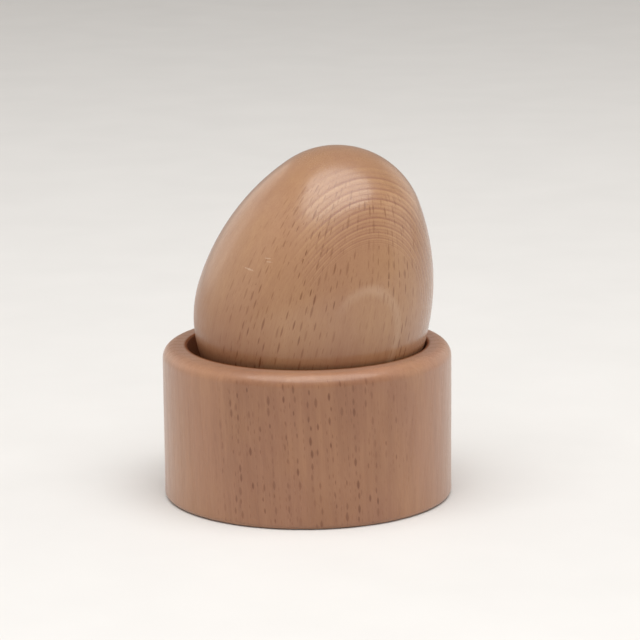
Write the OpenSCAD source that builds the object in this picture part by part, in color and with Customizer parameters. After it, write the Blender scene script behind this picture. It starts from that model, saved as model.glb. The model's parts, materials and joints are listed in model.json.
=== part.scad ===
// Wooden egg shaker with its turned stand.
// A turned egg, bored from its broad end and closed by a glued plug, holds one loose layer of
// round steel shot. It rests, leaning, in the dished recess of a short turned cup.
// Origin: centre of the cup's base face. +Z is up, and the egg leans to the right and forward.

/* [Egg] */
// Diameter of the egg's round, broad end
egg_d = 45; // [42:0.5:46]
// Radius of the long curve down the egg's side
flank_r = 47; // [44:0.5:60]
// Radius of the egg's pointed end
tip_r = 16.7; // [15:0.1:18]

/* [Lean] */
// Angle between the egg's long axis and the vertical
lean = 19.5; // [0:0.5:25]
// Compass direction the egg leans in, anticlockwise from the right
lean_az = -30; // [-180:5:180]
// How far the egg sits off the cup's middle, towards the side it leans to
lean_shift = 0.9; // [0:0.1:1.1]

/* [Cup] */
// Outside diameter of the cup
cup_d = 55.6; // [55:0.2:80]
// Height of the cup
cup_h = 29.6; // [26:0.1:40]
// Depth of the dished recess, at its middle
recess_depth = 17.6; // [14:0.1:19]
// How much larger the dish's radius is than the egg's
dish_play = 1.5; // [1.2:0.1:2]
// Round-over of the cup's outer top edge
top_round = 2.5; // [0.5:0.05:3]
// Round-over of the cup's outer bottom edge
foot_round = 1; // [0.5:0.05:2]
// Round-over of the recess's mouth
mouth_round = 0.4; // [0.3:0.1:1]

/* [Rattle chamber] */
// Diameter of the blind bore that the shot moves in
chamber_d = 20; // [20:0.2:22]
// Length of that bore, from the plug's inner face to its flat end
chamber_l = 35; // [15:1:38]
// Distance from the egg's widest section down to the plug's inner face
chamber_drop = 13; // [8:0.5:14]
// Diameter of the plug, which seats on the shoulder it leaves around the chamber
plug_d = 22; // [22:0.2:25]
// Chamfer that leads the plug into its seat
plug_chamfer = 0.5; // [0.2:0.1:0.8]
// Thickness of the glue line around the plug
glue_gap = 0.05; // [0.02:0.01:0.1]

/* [Shot] */
// Diameter of one steel pellet
pellet_d = 4; // [2:0.1:4]
// Spacing of the pellets in their layer, as a multiple of touching
pellet_spread = 1.02; // [1.01:0.005:1.02]

/* [Hidden] */
$fn = 96;
beech = [0.71, 0.56, 0.46];
beech_end = [0.62, 0.47, 0.37];
steel = [0.72, 0.73, 0.75];
rest_gap = 0.05; // air left where the egg and the pellets rest on something

egg_r = egg_d / 2;
tip_z = sqrt(pow(flank_r - tip_r, 2) - pow(flank_r - egg_r, 2)); // centre of the tip's arc
tip_turn = atan2(tip_z, flank_r - egg_r); // slope at which the flank's arc meets the tip's
shoulder_z = tip_z + tip_r * sin(tip_turn);
egg_top = tip_z + tip_r;

dish_r = egg_r + dish_play;
dish_z = cup_h - recess_depth + dish_r; // centre of the dish's sphere
egg_z = dish_z - sqrt(pow(dish_play - rest_gap, 2) - pow(lean_shift, 2));
mouth_z = cup_h - mouth_round; // the mouth's round-over: its arc's centre, and where it leaves the dish
mouth_x = sqrt(pow(dish_r + mouth_round, 2) - pow(mouth_z - dish_z, 2));
mouth_low_z = dish_z + (mouth_z - dish_z) * dish_r / (dish_r + mouth_round);

plug_top = -chamber_drop; // the plug's inner face, which is the chamber's floor
chamber_top = plug_top + chamber_l;
plug_seat = plug_top + glue_gap; // shoulder that the plug is pushed up to
pellet_z = plug_top + rest_gap + pellet_d / 2;

// The layer of shot: one pellet in the middle, a ring of 6 around it, and a ring of 12 around those
inner_count = 6;
outer_count = 12;
inner_ring_r = pellet_d * pellet_spread;
outer_ring_r = inner_ring_r / (2 * sin(180 / outer_count));
PELLET_SPOTS = concat(
    [[0, 0]],
    [for (i = [0 : inner_count - 1]) inner_ring_r * spoke(i * 360 / inner_count)],
    [for (i = [0 : outer_count - 1]) outer_ring_r * spoke((i + 0.5) * 360 / outer_count)]
);
function spoke(angle) = [cos(angle), sin(angle)];
function pellet_name(i) = str("pellet_", i < 10 ? "0" : "", i);

PELLETS = [for (i = [1 : len(PELLET_SPOTS)]) pellet_name(i)];

// Quarter disc with its corner at the origin, for rounding an outline's outer corner
module quarter(r) {
    intersection() {
        circle(r = r);
        square(r);
    }
}

// Half outline of the egg: broad end, flank and tip, each an arc that runs smoothly into the next
module egg_outline() {
    intersection() {
        circle(r = egg_r);
        translate([0, -egg_r]) square([egg_r, egg_r]);
    }
    intersection() {
        translate([egg_r - flank_r, 0]) circle(r = flank_r);
        square([egg_r, shoulder_z]);
    }
    intersection() {
        translate([0, tip_z]) circle(r = tip_r);
        translate([0, shoulder_z]) square([tip_r, egg_top - shoulder_z]);
    }
}

// Half outline of the cup before the recess is cut, with its rounded outer edges
module cup_blank() {
    cup_r = cup_d / 2;
    square([cup_r - top_round, cup_h]);
    translate([cup_r - top_round, foot_round]) square([top_round, cup_h - top_round - foot_round]);
    translate([cup_r - top_round, cup_h - top_round]) quarter(top_round);
    square([cup_r - foot_round, foot_round]);
    translate([cup_r - foot_round, foot_round]) mirror([0, 1]) quarter(foot_round);
}

// Half outline of the recess: the dish, opened out at the mouth by a convex round-over
module recess_outline() {
    translate([0, dish_z]) circle(r = dish_r);
    difference() {
        translate([0, mouth_low_z]) square([mouth_x, cup_h - mouth_low_z]);
        translate([mouth_x, mouth_z]) circle(r = mouth_round);
    }
}

// Puts something drawn about the egg's own long axis into its leaning rest place
module at_rest() {
    rotate([0, 0, lean_az]) translate([lean_shift, 0, egg_z])
        rotate([0, lean, 0]) rotate([0, 0, -lean_az]) children();
}

module cup() {
    color(beech) rotate_extrude() difference() {
        cup_blank();
        recess_outline();
    }
}

module egg_shell() {
    color(beech) at_rest() rotate_extrude() difference() {
        egg_outline();
        translate([0, -egg_r]) square([plug_d / 2 + glue_gap, egg_r + plug_seat]);
        translate([0, plug_seat]) square([chamber_d / 2, chamber_top - plug_seat]);
    }
}

module end_plug() {
    plug_r = plug_d / 2;
    color(beech_end) at_rest() rotate_extrude() intersection() {
        egg_outline();
        polygon([
            [0, -egg_r], [plug_r, -egg_r], [plug_r, plug_top - plug_chamfer],
            [plug_r - plug_chamfer, plug_top], [0, plug_top]
        ]);
    }
}

module pellet(i) {
    spot = PELLET_SPOTS[i - 1];
    color(steel) at_rest() translate([spot[0], spot[1], pellet_z]) sphere(d = pellet_d);
}

cup();
egg_shell();
end_plug();
for (i = [1 : len(PELLETS)]) pellet(i);
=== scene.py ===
"""Looks of the turned wooden egg shaker and its cup: finished meshes, beech and steel, light and camera."""
import json
import math

import bpy
from mathutils import Matrix, Vector, noise


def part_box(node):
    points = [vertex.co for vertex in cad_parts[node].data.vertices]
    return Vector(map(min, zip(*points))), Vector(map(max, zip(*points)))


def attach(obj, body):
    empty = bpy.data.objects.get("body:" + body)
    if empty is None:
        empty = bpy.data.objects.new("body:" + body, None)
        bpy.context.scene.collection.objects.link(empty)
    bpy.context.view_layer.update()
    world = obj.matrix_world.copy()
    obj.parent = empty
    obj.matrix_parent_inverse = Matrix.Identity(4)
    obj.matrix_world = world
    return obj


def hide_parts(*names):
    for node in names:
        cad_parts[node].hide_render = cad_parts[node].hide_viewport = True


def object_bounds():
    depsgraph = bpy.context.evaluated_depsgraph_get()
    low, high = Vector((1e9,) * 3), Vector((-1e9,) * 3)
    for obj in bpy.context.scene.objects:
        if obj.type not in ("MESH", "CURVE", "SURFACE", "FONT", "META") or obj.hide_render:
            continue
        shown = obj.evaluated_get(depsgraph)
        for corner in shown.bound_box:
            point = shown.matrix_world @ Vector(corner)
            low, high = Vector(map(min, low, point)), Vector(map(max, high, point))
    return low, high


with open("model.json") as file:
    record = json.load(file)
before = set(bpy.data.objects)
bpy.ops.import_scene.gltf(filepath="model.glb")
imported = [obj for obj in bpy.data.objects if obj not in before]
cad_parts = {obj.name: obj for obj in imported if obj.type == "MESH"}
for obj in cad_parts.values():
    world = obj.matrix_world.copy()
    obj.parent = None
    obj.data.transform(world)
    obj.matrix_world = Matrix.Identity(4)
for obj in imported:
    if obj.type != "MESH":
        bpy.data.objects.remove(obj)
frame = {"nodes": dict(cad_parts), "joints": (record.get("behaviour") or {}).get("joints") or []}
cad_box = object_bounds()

MM = 0.001  # every length below is in millimetres, and meshes are scaled to metres when they are made


# ---------------------------------------------------------------- places and sizes, from the frame

def node_box(node):
    """A CAD node's lowest and highest corner, in millimetres."""
    low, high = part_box(node)
    return low / MM, high / MM


def joint(name):
    """A joint of the frame, by its name."""
    return next(j for j in frame["joints"] if j["name"] == name)


PELLETS = sorted(n for n in frame["nodes"] if n.startswith("pellet_"))
EGG_AXIS = Vector(joint("pellet_01_travel")["axis"]).normalized()

EGG_R = 22.5        # broad end
FLANK_R = 47.0      # long curve of the side
TIP_R = 16.7        # pointed end
CHAMBER_R = 10.0
CHAMBER_LOW, CHAMBER_HIGH = -13.0, 22.0  # chamber floor and end, from the widest section
PLUG_R = 11.0
GLUE_GAP = 0.05
PLUG_CHAMFER = 0.5
EDGE_BREAK = 0.12   # sanded corner where plug and shell meet the outside

shell_low, shell_high = node_box("egg_shell")
plug_low, _ = node_box("end_plug")
EGG_CENTRE = Vector((shell_low.x + EGG_R, shell_high.y - EGG_R, plug_low.z + EGG_R))

cup_low, cup_high = node_box("cup")
CUP_R = (cup_high.x - cup_low.x) / 2
CUP_H = cup_high.z
DISH_PLAY = 1.5     # how much larger the dish's radius is than the egg's
DISH_R = EGG_R + DISH_PLAY
RECESS_DEPTH = 17.6
TOP_ROUND, FOOT_ROUND, MOUTH_ROUND = 2.5, 1.0, 0.4
DISH_CENTRE = Vector((0, 0, CUP_H - RECESS_DEPTH + DISH_R))


# ---------------------------------------------------------------- outlines and turned meshes

def arc(x, z, radius, start, end, steps):
    """Points along an arc, as (distance from the axis, height). Angles are in degrees from straight out."""
    angles = (math.radians(start + (end - start) * i / steps) for i in range(steps + 1))
    return [(x + radius * math.cos(a), z + radius * math.sin(a)) for a in angles]


def line(a, b, steps):
    """Evenly spaced points from a to b, with both ends."""
    return [(a[0] + (b[0] - a[0]) * i / steps, a[1] + (b[1] - a[1]) * i / steps) for i in range(steps + 1)]


def joined(*runs):
    """One outline from several runs of points, without the doubled points where they meet."""
    outline = []
    for run in runs:
        for p in run:
            if not outline or math.dist(p, outline[-1]) > 1e-4:
                outline.append(p)
    return outline


SHARP_ANGLE = math.radians(35)  # corners sharper than this stay crisp


def turned(name, outline, place, segments=288, skin=None, relief=0.0, grain_size=9.0):
    """A closed solid of revolution about the outline's own axis, put in place by a matrix.

    skin(radius, height) says how much of the hand-sanded unevenness a point takes, from 0 to 1. relief is the
    deepest the sanding goes, and grain_size is the length of its waves.
    """
    points, rows = [], []
    for radius, height in outline:
        if radius < 1e-6:
            rows.append([len(points)])
            points.append(Vector((0, 0, height)))
            continue
        rows.append(list(range(len(points), len(points) + segments)))
        for k in range(segments):
            turn = 2 * math.pi * k / segments
            points.append(Vector((radius * math.cos(turn), radius * math.sin(turn), height)))
    faces = []
    for low, high in zip(rows, rows[1:]):
        for k in range(segments):
            n = (k + 1) % segments
            if len(low) == 1:
                faces.append((low[0], high[n], high[k]))
            elif len(high) == 1:
                faces.append((low[k], low[n], high[0]))
            else:
                faces.append((low[k], low[n], high[n], high[k]))
    mesh = bpy.data.meshes.new(name)
    mesh.from_pydata(points, [], faces)
    mesh.update()
    if skin:
        moves = []
        for v in mesh.vertices:
            share = skin(math.hypot(v.co.x, v.co.y), v.co.z)
            sanded = 0.5 + 0.5 * noise.noise(v.co / grain_size)
            moves.append(v.co - v.normal * relief * share * sanded)
        for v, co in zip(mesh.vertices, moves):
            v.co = co
    mesh.transform(Matrix.Scale(MM, 4) @ place)
    mesh.shade_smooth()
    mesh.set_sharp_from_angle(angle=SHARP_ANGLE)
    piece = bpy.data.objects.new(name, mesh)
    bpy.context.scene.collection.objects.link(piece)
    return piece


def upright(axis, origin):
    """Matrix that stands an outline's axis along a direction, at a point."""
    return Matrix.Translation(origin) @ axis.to_track_quat("Z", "Y").to_matrix().to_4x4()


# ---------------------------------------------------------------- the pieces

SANDING = 0.06           # deepest unevenness left on the egg by sanding it by hand
CUP_SANDING = 0.05
UNSANDED_BELOW = -15.0   # the broad end keeps its shape below this, so that the plug stays flush
SKIN_DEPTH = 0.5         # points deeper than this inside the broad end's radius belong to the bore
EGG_PLACE = upright(EGG_AXIS, EGG_CENTRE)
TIP_Z = math.sqrt((FLANK_R - TIP_R) ** 2 - (FLANK_R - EGG_R) ** 2)
TIP_TURN = math.degrees(math.atan2(TIP_Z, FLANK_R - EGG_R))


def broken_edge(radius, inward):
    """Small rounding where the broad end's sphere meets the hole (inward 1) or the plug (inward -1)."""
    z = -math.sqrt(EGG_R ** 2 - radius ** 2)
    x = radius + inward * EDGE_BREAK
    on_sphere = (x, -math.sqrt(EGG_R ** 2 - x ** 2))
    between = (radius + inward * EDGE_BREAK * 0.3, z + EDGE_BREAK * 0.25)
    return [on_sphere, between, (radius, z + EDGE_BREAK)]


def make_egg_shell():
    """The egg with its bore and plug seat, from the far end of the bore round to the tip."""
    hole_r = PLUG_R + GLUE_GAP
    seat = CHAMBER_LOW + GLUE_GAP
    rim = broken_edge(hole_r, 1)
    rim_angle = math.degrees(math.atan2(rim[0][1], rim[0][0]))
    outline = joined(
        line((0, CHAMBER_HIGH), (CHAMBER_R, CHAMBER_HIGH), 8),
        line((CHAMBER_R, CHAMBER_HIGH), (CHAMBER_R, seat), 24),
        line((CHAMBER_R, seat), (hole_r, seat), 2),
        line((hole_r, seat), rim[2], 6),
        reversed(rim),
        arc(0, 0, EGG_R, rim_angle, 0, 52),
        arc(EGG_R - FLANK_R, 0, FLANK_R, 0, TIP_TURN, 64),
        arc(0, TIP_Z, TIP_R, TIP_TURN, 90, 40),
    )
    outline[-1] = (0, TIP_Z + TIP_R)

    def outer(radius, height):
        return float(math.hypot(radius, height) > EGG_R - SKIN_DEPTH and height > UNSANDED_BELOW)

    return turned("turned_egg", outline, EGG_PLACE, skin=outer, relief=SANDING)


def make_end_plug():
    """The plug, flush with the broad end and chamfered at its inner face."""
    rim = broken_edge(PLUG_R, -1)
    rim_angle = math.degrees(math.atan2(rim[0][1], rim[0][0]))
    outline = joined(
        arc(0, 0, EGG_R, -90, rim_angle, 24),
        rim,
        line(rim[2], (PLUG_R, CHAMBER_LOW - PLUG_CHAMFER), 8),
        line((PLUG_R, CHAMBER_LOW - PLUG_CHAMFER), (PLUG_R - PLUG_CHAMFER, CHAMBER_LOW), 3),
        line((PLUG_R - PLUG_CHAMFER, CHAMBER_LOW), (0, CHAMBER_LOW), 10),
    )
    outline[0] = (0, -EGG_R)
    return turned("turned_end_plug", outline, EGG_PLACE, segments=192)


def make_cup():
    """The cup, from the middle of its base round to the bottom of its dish."""
    dish_z = DISH_CENTRE.z
    mouth_z = CUP_H - MOUTH_ROUND
    mouth_x = math.sqrt((DISH_R + MOUTH_ROUND) ** 2 - (mouth_z - dish_z) ** 2)
    mouth_turn = math.degrees(math.atan2(dish_z - mouth_z, -mouth_x))  # where the mouth's arc meets the dish
    dish_turn = math.degrees(math.atan2(mouth_z - dish_z, mouth_x))
    outline = joined(
        line((0, 0), (CUP_R - FOOT_ROUND, 0), 20),
        arc(CUP_R - FOOT_ROUND, FOOT_ROUND, FOOT_ROUND, -90, 0, 12),
        line((CUP_R, FOOT_ROUND), (CUP_R, CUP_H - TOP_ROUND), 48),
        arc(CUP_R - TOP_ROUND, CUP_H - TOP_ROUND, TOP_ROUND, 0, 90, 12),
        line((CUP_R - TOP_ROUND, CUP_H), (mouth_x, CUP_H), 6),
        arc(mouth_x, mouth_z, MOUTH_ROUND, 90, mouth_turn, 10),
        arc(0, dish_z, DISH_R, dish_turn, -90, 60),
    )
    outline[-1] = (0, dish_z - DISH_R)

    def side(radius, height):
        return float(radius > mouth_x and height > FOOT_ROUND)

    return turned("turned_cup", outline, Matrix.Identity(4), skin=side, relief=CUP_SANDING, grain_size=14.0)


DIMPLE_DEPTH = 0.015
DIMPLES_AROUND = 2.3


def make_pellet(node):
    """A steel ball made from a rounded cube, so its faces are even, with the faint dimples of rolled shot."""
    low, high = node_box(node)
    centre, radius = (low + high) / 2, (high.z - low.z) / 2
    bpy.ops.mesh.primitive_cube_add(size=2)
    ball = bpy.context.active_object
    ball.name = node.replace("pellet", "steel_ball")
    cut = ball.modifiers.new("roundness", "SUBSURF")
    cut.levels = cut.render_levels = 4
    bpy.ops.object.modifier_apply(modifier=cut.name)
    for v in ball.data.vertices:
        out = v.co.normalized()
        dimple = 0.5 + 0.5 * noise.noise(out * DIMPLES_AROUND + centre)
        v.co = (centre + out * (radius - DIMPLE_DEPTH * dimple)) * MM
    ball.data.shade_smooth()
    return ball


# ---------------------------------------------------------------- material nodes

class Graph:
    """Adds shader nodes and links them, so that a material reads as a chain of formulas."""

    def __init__(self, material):
        material.use_nodes = True
        self.tree = material.node_tree
        self.tree.nodes.clear()

    def add(self, kind, inputs=(), output=0, **settings):
        node = self.tree.nodes.new("ShaderNode" + kind)
        for key, value in settings.items():
            setattr(node, key, value)
        for key, value in dict(inputs).items():
            self.put(node, key, value)
        return node.outputs[output] if node.outputs else node

    def put(self, node, key, value):
        socket = node.inputs[key]
        if isinstance(value, bpy.types.NodeSocket):
            self.tree.links.new(value, socket)
        else:
            socket.default_value = value

    def math(self, operation, *values):
        return self.add("Math", enumerate(values), operation=operation)

    def vector(self, operation, *values, output=0):
        return self.add("VectorMath", enumerate(values), output, operation=operation)

    def plus(self, first, *others):
        for other in others:
            first = self.math("ADD", first, other)
        return first

    def times(self, first, *others):
        for other in others:
            first = self.math("MULTIPLY", first, other)
        return first

    def minus(self, a, b):
        return self.math("SUBTRACT", a, b)

    def over(self, a, b):
        return self.math("DIVIDE", a, b)

    def size(self, value):
        """A number without its sign."""
        return self.math("ABSOLUTE", value)

    def swing(self, value, weight):
        """A value from 0 to 1 as one from minus half the weight to plus half of it."""
        return self.times(self.minus(value, 0.5), weight)

    def whole_and_rest(self, value):
        return self.math("FLOOR", value), self.math("FRACT", value)

    def dot(self, a, b):
        return self.vector("DOT_PRODUCT", a, b, output="Value")

    def length(self, vector):
        return self.vector("LENGTH", vector, output="Value")

    def apart(self, vector):
        """The three numbers of a vector."""
        return list(self.add("SeparateXYZ", {0: vector}).node.outputs)

    def together(self, *values):
        return self.add("CombineXYZ", enumerate(values))

    def random(self, *keys):
        """A number from 0 to 1 that depends only on the keys."""
        return self.add("TexWhiteNoise", {"Vector": self.together(*keys)}, "Value")

    def three_random(self, vector):
        return self.apart(self.add("TexWhiteNoise", {"Vector": vector}, "Color"))

    def between(self, value, low, high, at_low=0.0, at_high=1.0, smooth=True):
        """Value low..high mapped to at_low..at_high, held at both ends."""
        kind = "SMOOTHSTEP" if smooth else "LINEAR"
        inputs = {"Value": value, "From Min": low, "From Max": high, "To Min": at_low, "To Max": at_high}
        return self.add("MapRange", inputs, interpolation_type=kind)

    def noise(self, vector, detail=2.0, roughness=0.5, scale=1.0):
        inputs = {"Vector": vector, "Scale": scale, "Detail": detail, "Roughness": roughness}
        return self.add("TexNoise", inputs, "Fac")

    def grain(self, place, per_mm, shift=(0.0, 0.0, 0.0), **settings):
        """Noise stretched differently along the timber's three directions, in waves per millimetre."""
        return self.noise(self.vector("MULTIPLY", self.vector("ADD", place, shift), per_mm), **settings)

    def blend(self, share, a, b, kind="MIX"):
        node = self.tree.nodes.new("ShaderNodeMix")
        node.data_type, node.blend_type = "RGBA", kind
        node.clamp_factor = True
        self.put(node, 0, share)
        self.put(node, 6, a)
        self.put(node, 7, b)
        return node.outputs[2]

    def tinted(self, colour, tint):
        return self.blend(1.0, colour, tint, "MULTIPLY")


def rgb(red, green, blue):
    """Linear colour from display values 0..255."""
    shares = [c / 255 for c in (red, green, blue)]
    return (*(s / 12.92 if s <= 0.04 else ((s + 0.055) / 1.055) ** 2.4 for s in shares), 1.0)


# ---------------------------------------------------------------- beech

FLECK_TINT = (0.54, 0.39, 0.28, 1)
END_TINT = (0.64, 0.55, 0.42, 1)
# Painted shade for the inside of the cup's dish, darker than the wood around it
DISH_SHADE_TINT = (0.57, 0.39, 0.25, 1)
OIL_TINT = (1.0, 0.96, 0.92, 1)
WARM_TINT = (1.02, 1.01, 0.96, 1)
COOL_TINT = (0.98, 0.95, 0.96, 1)
PALE = (0.72, 0.55, 0.40, 1)

# Waves per millimetre along the rings, across the rings and along the fibres
FINE_FIBRES = (4.0, 4.0, 0.3)
COARSE_FIBRES = (0.9, 0.6, 0.045)
TONE_DRIFT = (0.07, 0.07, 0.03)
WARMTH_DRIFT = (0.09, 0.09, 0.05)
RAY_CROWDS = (0.2, 0.1, 0.08)
RING_PATCHES = (0.14, 0.14, 0.05)
RING_SWAY = (0.09, 0.09, 0.03)

# Spans over which a look changes, in millimetres: heights above the cut's centre, then left to right
# Painted shade: the wood is painted darkest below the first height, and the darkening is gone above the
# second
PAINTED_SHADE_HEIGHTS = (-16, 12)
RUBBED_HEIGHTS = (-9, 9)
END_GRAIN_SIDES = (-20, 15)

HEART_HALF_WIDTH, HEART_PALENESS = 0.4, 0.28
DENT_HALF_REACH = 3.0  # keeps a dent off the far side of the piece
WOOD_ROUGHNESS, OIL_ROUGHNESS = 0.46, 0.2


def wood_place(fibre, towards_bark):
    """Three directions of the timber: along the rings, across the rings, along the fibres."""
    fibre = Vector(fibre).normalized()
    across = Vector(towards_bark)
    across = (across - fibre * across.dot(fibre)).normalized()
    return across.cross(fibre).normalized(), across, fibre


def unrolled(g, point, centre, fibre):
    """Turn about the fibre axis through a centre (0 to 1), distance from that axis, and height along it."""
    axis = Vector(fibre).normalized()
    side = axis.orthogonal().normalized()
    offset = g.vector("SUBTRACT", point, tuple(centre))
    a, b = g.dot(offset, side), g.dot(offset, axis.cross(side))
    turn = g.plus(g.over(g.math("ARCTAN2", b, a), 2 * math.pi), 0.5)
    return turn, g.length(g.together(a, b)), g.dot(offset, axis)


def ray_flecks(g, rolled, seed, columns, cell, half, keep):
    """Lens-shaped ends of the wood's rays, one at most to a cell, in files along the fibres.

    Cells stand in columns round the piece, each slid by its own amount. cell is (depth, height), and half is
    half of a fleck's (width, depth, height), in millimetres. keep is the share of cells that may hold one.
    """
    turn, radius, height = rolled
    column, local_x = g.whole_and_rest(g.times(turn, float(columns)))
    slide = g.times(g.random(column, seed), 7.0)
    row, local_y = g.whole_and_rest(g.plus(g.over(radius, cell[0]), slide))
    slide = g.times(g.random(column, row, seed), 9.0)
    layer, local_z = g.whole_and_rest(g.plus(g.over(height, cell[1]), slide))
    spot = g.together(column, row, g.plus(layer, float(seed)))
    grade, chance, dark = g.three_random(spot)
    moved_x, moved_y, moved_z = g.three_random(g.vector("ADD", spot, (31.0, 17.0, 5.0)))

    def from_spot(local, moved, spread, cell_size):
        return g.times(g.minus(local, g.plus(0.5, g.swing(moved, spread))), cell_size)

    cell_width = g.times(radius, 2 * math.pi / columns)
    size = g.between(grade, 0, 1, 0.6, 1.25, smooth=False)
    in_file = g.plus(g.times(moved_x, 0.3), g.times(g.random(column, seed + 5.0), 0.7))
    width = g.over(from_spot(local_x, in_file, 0.7, cell_width), g.times(size, half[0]))
    depth = g.over(from_spot(local_y, moved_y, 0.3, cell[0]), half[1])
    length = g.over(from_spot(local_z, moved_z, 0.3, cell[1]), g.times(size, half[2]))
    reach = g.plus(g.size(width), g.times(length, length), g.math("POWER", g.size(depth), 4.0))
    lens = g.between(reach, 0.3, 1.0, 1.0, 0.0)
    filled = g.between(g.random(column, seed + 2.0), 0.2, 0.8, 0.55 * keep, 1.1 * keep)
    kept = g.math("LESS_THAN", chance, filled)
    return g.times(lens, kept, g.between(dark, 0, 1, 0.4, 1.0, smooth=False))


def growth_rings(g, point, place, cut, ring, seed):
    """Dark latewood lines, pale early wood, years and millimetres grown since the first ring.

    Rings are cylinders about the pith that sway a little. The one at the first radius is width wide, and each
    ring after it is narrower by the share slowing.
    """
    width, slowing = ring["width"], ring["slowing"]
    sway = g.grain(place, RING_SWAY, detail=1.0)
    from_pith = g.vector("SUBTRACT", point, tuple(cut["pith_point"]))
    radius = g.length(g.vector("CROSS_PRODUCT", from_pith, tuple(cut["pith_axis"].normalized())))
    grown = g.plus(g.minus(radius, ring["first"]), g.swing(sway, 0.4))
    years = g.over(grown, width)
    if slowing:
        narrowed = g.math("MAXIMUM", g.minus(1.0, g.times(years, slowing)), 0.08)
        years = g.over(g.math("LOGARITHM", narrowed, math.e), -slowing)
    season = g.math("FRACT", years)
    strength = g.between(g.random(g.math("ROUND", years), seed), 0, 1, 0.65, 1.0, smooth=False)
    late = g.math("MAXIMUM", g.between(season, 0.72, 1.0), g.between(season, 0.0, 0.14, 1.0, 0.0))
    midsummer = g.between(g.size(g.minus(season, 0.47)), 0.01, 0.09, 0.4, 0.0)
    early = g.between(season, 0.12, 0.4, 1.0, 0.0)
    return g.math("MAXIMUM", g.times(late, strength), midsummer), early, years, grown


def ring_zone(g, point, place, ring, years):
    """The side of the piece that shows rings, how clearly they show there, and the patches they show in."""
    direction, show_from, show_to = ring["shows"]
    first_year, last_year = ring["years"]
    patches = g.grain(place, RING_PATCHES, detail=1.0)
    along = g.plus(g.dot(point, direction), g.swing(patches, 10.0))
    side = g.between(along, show_from, show_to, 0.1, 1.0)
    begun = g.between(years, first_year - 1.5, first_year, 0.15, 1.0)
    ended = g.between(years, last_year, last_year + 2.5, 1.0, 0.1)
    return side, g.times(side, begun, ended), patches


def pale_dents(g, point, dents, ragged):
    """How far a point is inside one of the small dents, each (place, half length, half height, tilt)."""
    inside = 0.0
    for where, length, height, tilt in dents:
        x, y, z = g.apart(g.vector("SUBTRACT", point, where))
        up = g.minus(z, g.times(x, tilt))
        reach = g.length(g.together(g.over(x, length), g.over(up, height)))
        dent = g.between(g.plus(reach, g.swing(ragged, 1.2)), 0.3, 1.0, 1.0, 0.0)
        on_this_side = g.math("LESS_THAN", g.size(y), DENT_HALF_REACH)
        inside = g.math("MAXIMUM", inside, g.times(on_this_side, dent))
    return inside


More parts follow.
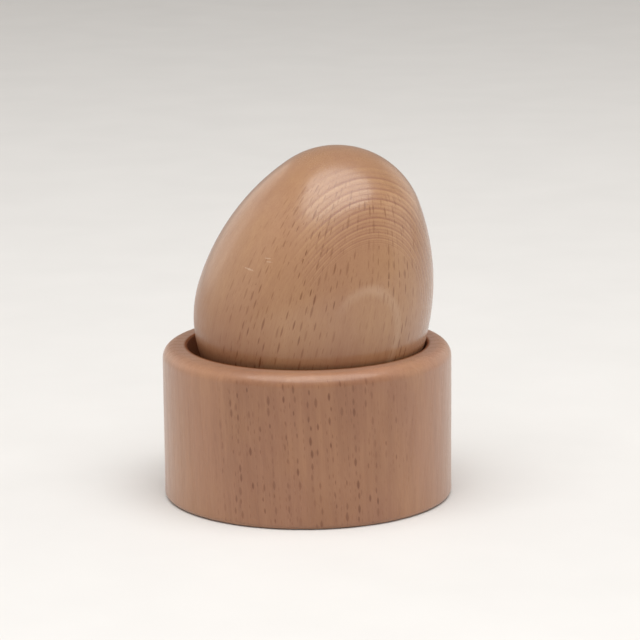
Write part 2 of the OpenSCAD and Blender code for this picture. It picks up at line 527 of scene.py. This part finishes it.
def beech(name, light, dark, cut, ring, rays, seed, finish, streaks=0.35, painted_low_shade=0.0, end_dark=(0.4, 0.4),
          dish=None, dents=()):
    """Sanded beech, solid all the way through, so faces, end grain and the dish all agree.

    cut says how the piece lies in its timber. painted_low_shade is painted shade, how much darker the wood is
    painted low on the piece, and end_dark is how dark the end grain is at its left and its right. dish is the
    (centre, radius) of a hollow whose wood is unpolished and painted darker as shade.
    """
    material = bpy.data.materials.new(name)
    g = Graph(material)
    point = g.vector("SCALE", g.add("TexCoord", output="Object"))
    point.node.inputs["Scale"].default_value = 1 / MM
    around, out, along = wood_place(cut["fibre"], cut["bark_side"])
    place = g.together(g.dot(point, around), g.dot(point, out), g.dot(point, along))
    rolled = unrolled(g, point, cut["centre"], cut["fibre"])
    height = rolled[2]
    facing = g.add("VectorTransform", {0: g.add("NewGeometry", output="Normal")},
                   vector_type="NORMAL", convert_from="WORLD", convert_to="OBJECT")
    end_grain = g.between(g.size(g.dot(facing, along)), 0.6, 1.0)
    flat_sawn = g.between(g.size(g.dot(facing, out)), *rays["face"], 0.06, 1.0)

    late, early, years, grown = growth_rings(g, point, place, cut, ring, seed)
    ring_side, rings_shown, patches = ring_zone(g, point, place, ring, years)
    rings = g.times(g.minus(late, g.times(early, 0.45)), rings_shown)

    # Fibres: fine and coarse streaks along the grain, and slow drifts of tone and warmth
    fine = g.grain(place, FINE_FIBRES, roughness=0.6)
    coarse = g.grain(place, COARSE_FIBRES)
    drift = g.grain(place, TONE_DRIFT)
    warmth = g.grain(place, WARMTH_DRIFT, shift=(40.0, 9.0, 3.0))
    # Besides the rings, fibres and drifts of the wood, the tone adds painted shade low on the piece
    tone = g.plus(g.times(rings, ring["strength"]), g.swing(fine, 0.4), g.swing(coarse, streaks),
                  g.swing(drift, 0.5), g.between(height, *PAINTED_SHADE_HEIGHTS, 0.3 + painted_low_shade, 0.3),
                  g.times(flat_sawn, rays["tone"]))
    colour = g.blend(tone, light, dark)
    colour = g.tinted(colour, g.blend(g.between(warmth, 0.35, 0.65), COOL_TINT, WARM_TINT))

    # Rays: dark lenses where the face runs along the rings, faint where it cuts across them
    among_rings = g.between(rings_shown, 0.3, 1.0, 1.0, rays["on_rings"])
    on_face = g.times(flat_sawn, among_rings, g.minus(1.0, end_grain))
    if "heart" in ring:
        # Where the cut runs along one ring the wood is calm, and that ring shows as a pale band
        heart_from, heart_to = ring["heart"]
        on_face = g.times(on_face, g.between(grown, heart_from, heart_to, 1.0, 0.3))
        off_band = g.size(g.minus(grown, (heart_from + heart_to) / 2))
        paleness = g.between(off_band, 0.0, HEART_HALF_WIDTH, HEART_PALENESS, 0.0)
        band = g.times(paleness, ring_side, ring_side, patches)
        colour = g.blend(band, colour, PALE)
    large = ray_flecks(g, rolled, seed, **rays["large"])
    small = ray_flecks(g, rolled, seed + 11.3, **rays["small"])
    crowded = g.between(g.grain(place, RAY_CROWDS, shift=(5.0, 21.0, 13.0), detail=1.0), 0.35, 0.55, 0.6, 1.0)
    fleck = g.times(g.math("MAXIMUM", large, g.times(small, 0.5)), on_face, crowded)
    colour = g.blend(fleck, colour, g.tinted(colour, FLECK_TINT))

    left_to_right = g.apart(point)[0]
    darkened = g.times(end_grain, g.between(left_to_right, *END_GRAIN_SIDES, *end_dark))
    colour = g.blend(darkened, colour, g.tinted(colour, END_TINT))
    polished_outside_shaded_dish = 1.0
    if dish:
        centre, radius = dish
        outward = g.vector("DISTANCE", point, tuple(centre), output="Value")
        # Inside the dish the wood is unpolished, and its colour is painted darker, as shade
        polished_outside_shaded_dish = g.between(outward, radius + 0.2, radius + 0.8, 0.05, 1.0)
        colour = g.blend(polished_outside_shaded_dish, g.tinted(colour, DISH_SHADE_TINT), colour)
    scar = pale_dents(g, point, dents, fine)
    colour = g.blend(g.times(scar, 0.3), colour, PALE)

    # Flecks and dents are sunk, rings too but less, and fine fibres stand up
    relief = g.minus(g.times(fine, 0.6), g.plus(fleck, g.times(scar, 1.5), g.times(rings, 0.12)))
    bump = g.add("Bump", {"Height": relief, "Strength": 0.35, "Distance": 0.02 * MM})
    dull = g.plus(g.times(end_grain, 0.1), g.swing(fine, 0.25), g.times(rings, 0.12))
    polished_outside_shaded_dish = g.times(polished_outside_shaded_dish, g.between(height, *RUBBED_HEIGHTS, finish["rubbed"], 1.0))
    skin = g.add("BsdfPrincipled", {
        "Base Color": colour, "Roughness": g.plus(WOOD_ROUGHNESS, dull), "IOR": 1.45, "Normal": bump,
        "Specular IOR Level": g.times(polished_outside_shaded_dish, 0.5), "Specular Tint": OIL_TINT,
        "Coat Weight": g.times(polished_outside_shaded_dish, finish["oil"]),
        "Coat Roughness": g.plus(OIL_ROUGHNESS, dull), "Coat Normal": bump,
        "Sheen Weight": g.times(polished_outside_shaded_dish, finish["fuzz"]), "Sheen Roughness": 0.5, "Sheen Tint": OIL_TINT,
    })
    g.add("OutputMaterial", {"Surface": skin})
    return material


# How each piece was cut: which way its fibres and the bark lie, the centre that heights and turns are
# measured from, which is the base's for the cup, and where the tree's pith was
EGG_CUT = {
    "fibre": (0.237, -0.158, 1.0), "bark_side": (0.41, -0.9, -0.16), "centre": EGG_CENTRE,
    "pith_axis": Vector((0.0437, -0.16, 0.986)),
    "pith_point": EGG_CENTRE - 181.8 * Vector((0.41, -0.897, -0.164)),
}
PLUG_CUT = {
    "fibre": tuple(EGG_AXIS), "bark_side": (1.0, 0.3, 0.0), "centre": EGG_CENTRE,
    "pith_axis": EGG_AXIS, "pith_point": EGG_CENTRE + Vector((38.0, 20.0, 0.0)),
}
CUP_CUT = {
    "fibre": (-0.05, 0.0, 1.0), "bark_side": (0.07, -1.0, 0.0), "centre": (0.0, 0.0, 0.0),
    "pith_axis": Vector((-0.1, 0.06, 1.0)), "pith_point": Vector((-12.0, 70.0, 0.0)),
}

# The egg's rings narrow towards the bark. They show in a span of years, where the place along a direction is
# past two limits. The heart is where the egg's front runs along one ring, in millimetres grown.
EGG_RING = {
    "width": 2.15, "slowing": 0.25, "first": 193.05, "strength": 0.65,
    "shows": ((0.95, 0.0, 0.3), 12.0, 22.0), "years": (0.0, 6.6), "heart": (9.45, 11.05),
}
EVERYWHERE = {"slowing": 0.0, "first": 0.0, "shows": ((0.0, 0.0, 0.0), -30.0, -20.0), "years": (-90.0, 90.0)}
PLUG_RING = {"width": 1.4, "strength": 0.5, **EVERYWHERE}
CUP_RING = {"width": 2.6, "strength": 0.05, **EVERYWHERE}

# face is how squarely a face must look towards the bark to show rays, from faint to full; tone darkens such
# faces, and on_rings is how strongly rays show among clear rings
EGG_RAYS = {
    "large": {"columns": 100, "cell": (1.6, 3.0), "half": (0.26, 0.95, 1.4), "keep": 0.95},
    "small": {"columns": 176, "cell": (1.2, 1.7), "half": (0.1, 0.75, 0.6), "keep": 0.7},
    "face": (0.05, 0.5), "tone": 0.0, "on_rings": 0.75,
}
CUP_RAYS = {
    "large": {"columns": 80, "cell": (1.6, 2.3), "half": (0.35, 0.95, 0.98), "keep": 0.95},
    "small": {"columns": 170, "cell": (1.2, 1.7), "half": (0.16, 0.75, 0.65), "keep": 0.75},
    "face": (0.7, 0.88), "tone": 0.25, "on_rings": 1.0,
}

# oil is the polish, rubbed is the share of it left low down on the piece, and fuzz is raised fibre
EGG_FINISH = {"oil": 0.95, "rubbed": 0.35, "fuzz": 0.0}
PLUG_FINISH = {"oil": 0.95, "rubbed": 1.0, "fuzz": 0.0}
CUP_FINISH = {"oil": 0.4, "rubbed": 1.0, "fuzz": 0.2}

EGG_DENTS = (
    ((-10.6, -17.3, 47.6), 1.2, 0.24, -0.2),
    ((-7.0, -19.1, 49.9), 0.85, 0.13, 0.0),
    ((-6.8, -19.2, 49.3), 0.8, 0.12, 0.0),
)


# ---------------------------------------------------------------- steel

def steel(name):
    """Bright shot, worn by rattling and a little tarnished."""
    material = bpy.data.materials.new(name)
    g = Graph(material)
    point = g.add("TexCoord", output="Object")
    wear = g.noise(point, detail=4.0, roughness=0.65, scale=900.0)
    tarnish = g.noise(point, scale=260.0)
    colour = g.blend(g.between(tarnish, 0.4, 0.75), rgb(205, 206, 208), rgb(150, 146, 140))
    skin = g.add("BsdfPrincipled", {
        "Base Color": colour, "Metallic": 1.0, "Roughness": g.between(wear, 0.3, 0.7, 0.18, 0.38),
        "Normal": g.add("Bump", {"Height": wear, "Strength": 0.2, "Distance": 0.01 * MM}),
    })
    g.add("OutputMaterial", {"Surface": skin})
    return material


# ---------------------------------------------------------------- build and place

def finish_piece(piece, material, body, node):
    """Give a piece its material, and stand it in for its CAD node."""
    piece.data.materials.clear()
    piece.data.materials.append(material)
    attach(piece, body)
    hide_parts(node)


# The egg's wood is painted darker low down, as shade
egg_wood = beech("egg_beech", rgb(171, 130, 94), rgb(135, 86, 60), EGG_CUT, EGG_RING, EGG_RAYS, seed=3.0,
                 finish=EGG_FINISH, painted_low_shade=0.4, dents=EGG_DENTS)
plug_wood = beech("plug_beech", rgb(166, 120, 86), rgb(134, 90, 62), PLUG_CUT, PLUG_RING, EGG_RAYS, seed=9.0,
                  finish=PLUG_FINISH)
# The cup's dish is painted darker, as shade
cup_wood = beech("cup_beech", rgb(169, 123, 91), rgb(128, 84, 60), CUP_CUT, CUP_RING, CUP_RAYS, seed=5.0,
                 finish=CUP_FINISH, streaks=0.45, end_dark=(0.55, 0.0), dish=(DISH_CENTRE, DISH_R))
shot_steel = steel("shot_steel")

finish_piece(make_cup(), cup_wood, "cup", "cup")
finish_piece(make_egg_shell(), egg_wood, "egg", "egg_shell")
finish_piece(make_end_plug(), plug_wood, "egg", "end_plug")
for node in PELLETS:
    finish_piece(make_pellet(node), shot_steel, node.replace("pellet", "shot"), node)


# ---------------------------------------------------------------- floor, light and camera

MIDDLE = (cad_box[0] + cad_box[1]) / 2
FLOOR_RADIUS = 12.0            # in metres, as are the lights' distances and sizes
FLOOR_DROP = 0.02 * MM         # keeps the cup's base clear of the floor
WARM_LIGHT = (1.0, 0.87, 0.74)
ROOM_LIGHT, ROOM_STRENGTH = (1.0, 0.99, 0.98, 1.0), 0.34


def make_floor():
    """A wide pale floor with a faint mottle."""
    bpy.ops.mesh.primitive_circle_add(vertices=96, radius=FLOOR_RADIUS, fill_type="NGON")
    floor = bpy.context.active_object
    floor.location.z = -FLOOR_DROP
    floor.name = "floor"
    material = bpy.data.materials.new("pale_floor")
    g = Graph(material)
    mottle = g.noise(g.add("TexCoord", output="Object"), detail=3.0, scale=40.0)
    colour = g.blend(mottle, rgb(221, 219, 216), rgb(214, 212, 209))
    g.add("OutputMaterial", {"Surface": g.add("BsdfPrincipled", {"Base Color": colour, "Roughness": 0.75})})
    floor.data.materials.append(material)


def area_light(name, azimuth, elevation, distance, width, height, watts, colour=(1, 1, 1)):
    """An oval softbox aimed at the object's middle. Azimuth 0 is the camera's side, and +90 is the right."""
    a, e = math.radians(azimuth), math.radians(elevation)
    towards = Vector((math.sin(a) * math.cos(e), -math.cos(a) * math.cos(e), math.sin(e)))
    light = bpy.data.lights.new(name, "AREA")
    light.shape, light.size, light.size_y = "ELLIPSE", width, height
    light.energy, light.color = watts, colour
    lamp = bpy.data.objects.new(name, light)
    bpy.context.scene.collection.objects.link(lamp)
    lamp.location = MIDDLE + towards * distance
    lamp.rotation_mode = "QUATERNION"
    lamp.rotation_quaternion = towards.to_track_quat("Z", "Y")
    lamp.visible_camera = False


make_floor()
area_light("softbox_top", azimuth=6, elevation=71.5, distance=0.95, width=1.45, height=1.15, watts=13.8)
area_light("fill_left", azimuth=-95, elevation=15, distance=1.6, width=2.08, height=1.76, watts=4.35,
           colour=WARM_LIGHT)
area_light("fill_right", azimuth=95, elevation=15, distance=1.6, width=1.28, height=1.28, watts=3.3,
           colour=WARM_LIGHT)
for side, azimuth in (("left", -140), ("right", 140)):
    area_light("back_" + side, azimuth, elevation=14, distance=1.8, width=1.35, height=1.05, watts=2.25,
               colour=WARM_LIGHT)

world = bpy.data.worlds.new("studio")
world.use_nodes = True
background = world.node_tree.nodes["Background"]
background.inputs["Color"].default_value = ROOM_LIGHT
background.inputs["Strength"].default_value = ROOM_STRENGTH
bpy.context.scene.world = world

# The camera stands in front of the object and a little above it. Angles are in degrees.
AIM = Vector((2.56, 0, 33.94))
ELEVATION, ROLL = 12.47, -0.52
DISTANCE, LENS, SENSOR = 618.0, 180.9, 36.0


def make_camera():
    """A long lens aimed at the object, so that the cup's rim shows as a narrow oval."""
    data = bpy.data.cameras.new("camera")
    data.lens, data.sensor_width = LENS, SENSOR
    data.clip_start, data.clip_end = 0.01, 20.0
    camera = bpy.data.objects.new("camera", data)
    bpy.context.scene.collection.objects.link(camera)
    tilt = math.radians(ELEVATION)
    back = Vector((0, -math.cos(tilt), math.sin(tilt)))
    camera.location = (AIM + back * DISTANCE) * MM
    camera.rotation_mode = "QUATERNION"
    roll = Matrix.Rotation(math.radians(ROLL), 3, "Z").to_quaternion()
    camera.rotation_quaternion = back.to_track_quat("Z", "Y") @ roll
    return camera


bpy.context.scene.camera = make_camera()
bpy.context.scene.view_settings.view_transform = "Standard"
